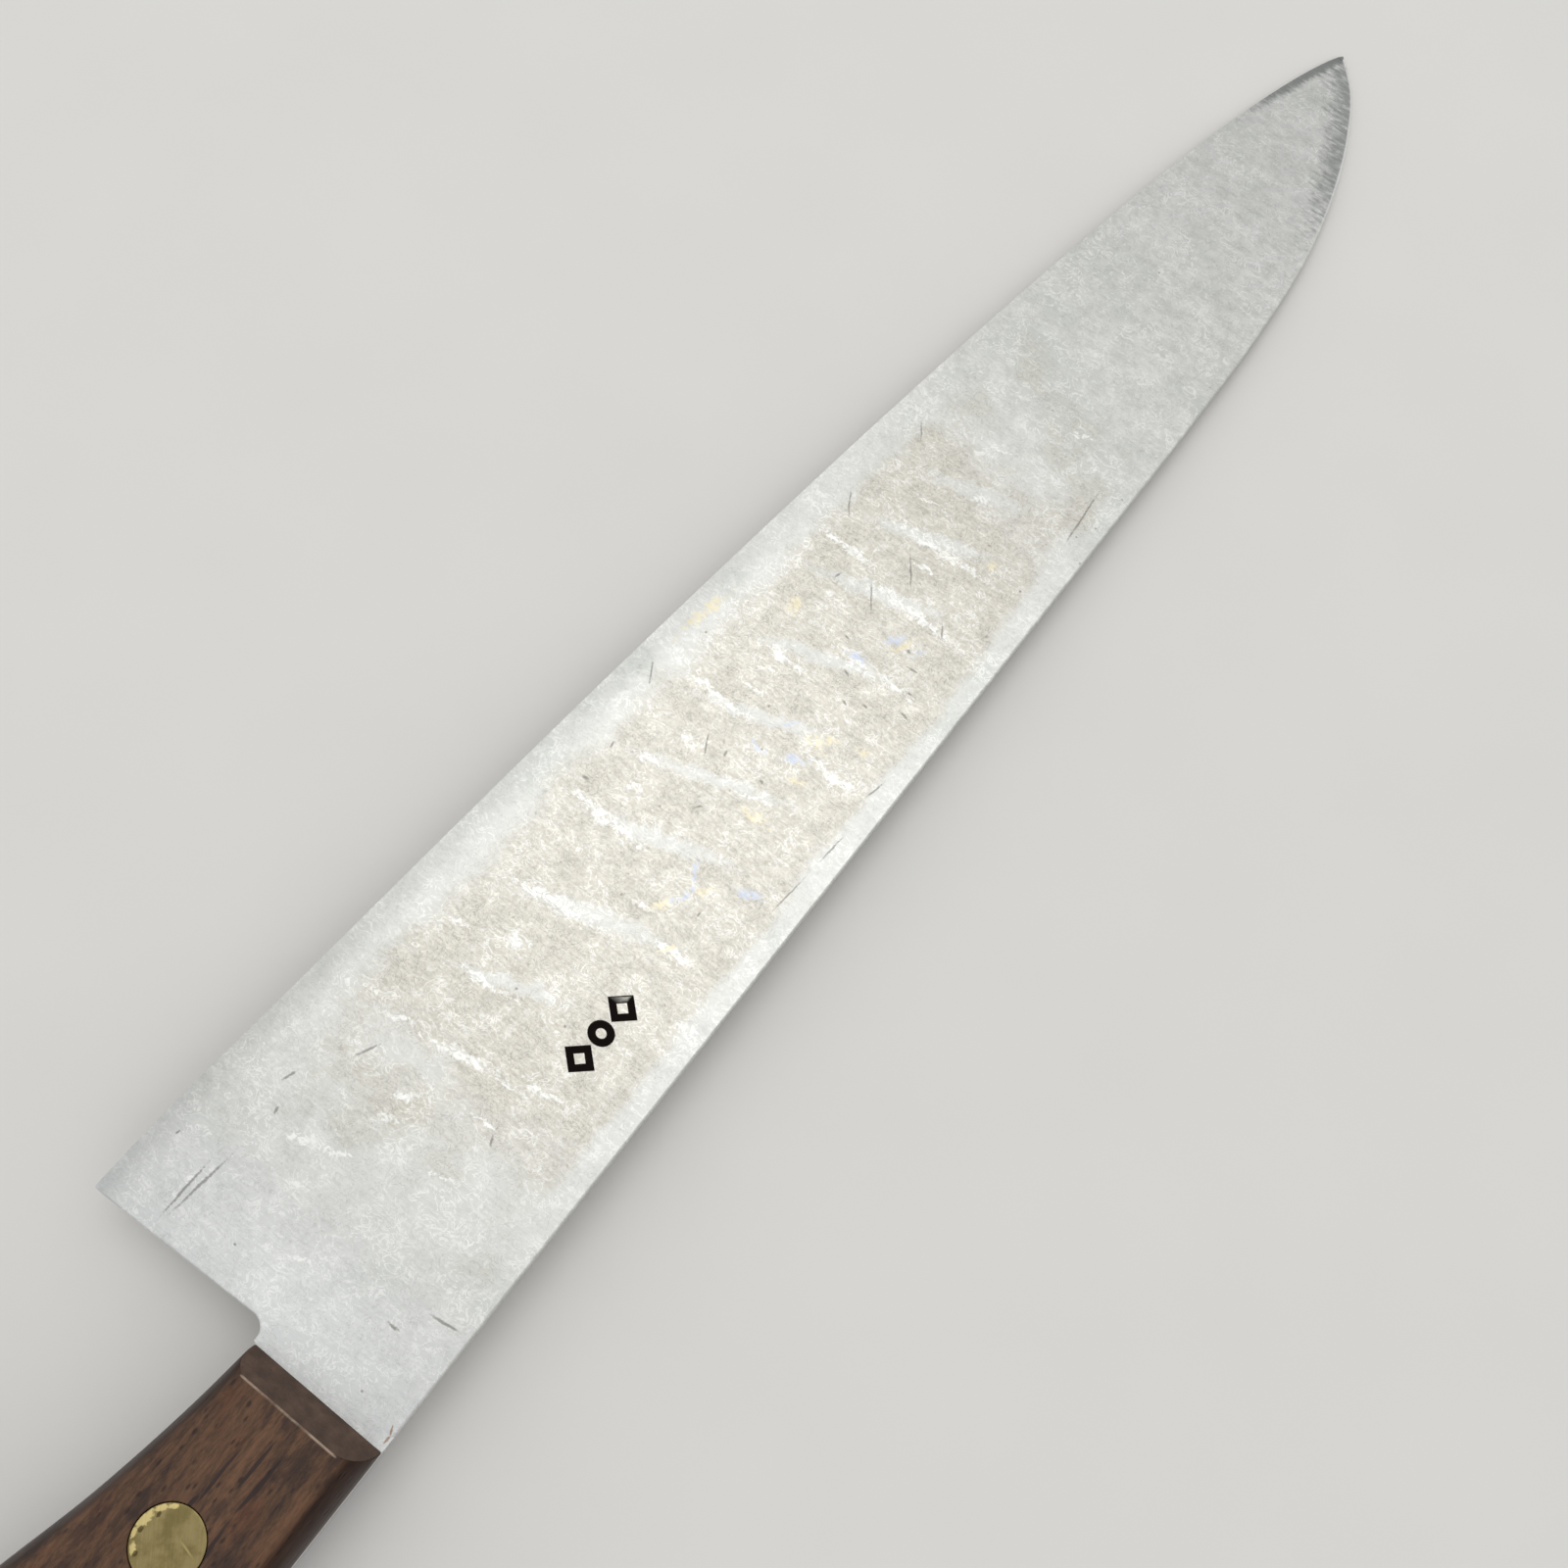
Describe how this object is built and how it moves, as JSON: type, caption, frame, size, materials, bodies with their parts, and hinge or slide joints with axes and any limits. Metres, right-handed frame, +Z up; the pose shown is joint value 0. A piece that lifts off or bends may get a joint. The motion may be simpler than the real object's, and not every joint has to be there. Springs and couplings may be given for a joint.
{
  "type": "chef knife",
  "caption": "Western-handled chef's knife: full-tang steel blade with a straight heel and a curved tip, wooden handle scales held by flush brass rivets, lying on its right side.",
  "frame": {"origin": "middle of the knife's footprint, on the surface it lies on", "axes": "+X towards the blade's tip, +Y from the spine towards the cutting edge, +Z up, out of the knife's left face; the knife lies on its right side and is pitched 1.8 degrees nose down, resting on the lower scale's front edge and the tip"},
  "size_m": [0.359, 0.046, 0.0195],
  "materials": {
    "blade_steel": "satin ground across the blade, stained and scratched with age",
    "handle_wood": "oiled, open pores, dark streaks along the grain",
    "rivet_brass": "ground flush, tarnished, worn bright at the rim"
  },
  "bodies": {
    "root": {"blade": "blade_steel", "left_scale": "handle_wood", "right_scale": "handle_wood", "front_rivet_socket": "rivet_brass", "front_rivet_pin": "rivet_brass", "middle_rivet_socket": "rivet_brass", "middle_rivet_pin": "rivet_brass", "rear_rivet_socket": "rivet_brass", "rear_rivet_pin": "rivet_brass"}
  },
  "joints": []
}
